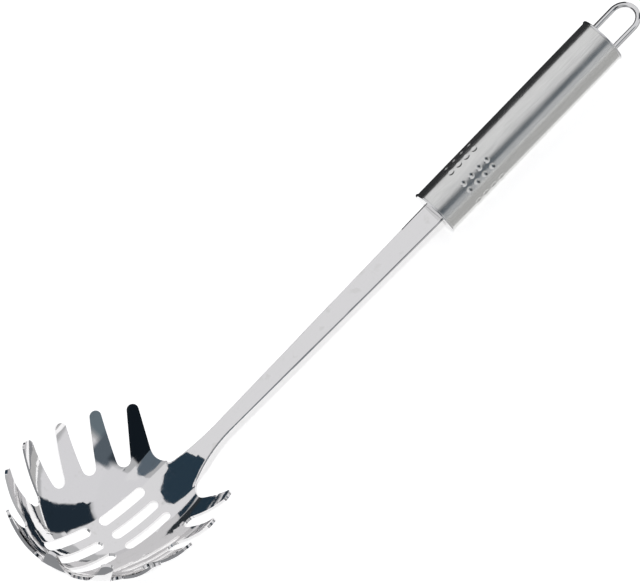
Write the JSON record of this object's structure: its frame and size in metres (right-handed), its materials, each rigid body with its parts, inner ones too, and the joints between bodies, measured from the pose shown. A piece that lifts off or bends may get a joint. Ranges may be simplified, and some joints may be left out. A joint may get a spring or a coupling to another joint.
{
  "type": "pasta server",
  "caption": "Steel pasta server: pronged bowl with drain slots on a channel-section shank, hollow round handle with grip dimples and a wire hanging loop.",
  "frame": {"origin": "middle of the handle tube, on its axis", "axes": "+X along the handle towards the bowl, +Z the way the bowl opens, +Y to the side"},
  "size_m": [0.3203, 0.0816, 0.0634],
  "materials": {
    "polished_steel": "mirror polished",
    "satin_steel": "satin brushed",
    "cap_steel": "polished",
    "wire_steel": "bright drawn",
    "weld_steel": "as welded"
  },
  "bodies": {
    "root": {"server_head": "polished_steel", "handle_tube": "satin_steel", "front_cap": "cap_steel", "rear_cap": "cap_steel", "hanging_loop": "wire_steel", "shank_weld": "weld_steel", "loop_weld_near": "weld_steel", "loop_weld_far": "weld_steel"}
  },
  "joints": []
}
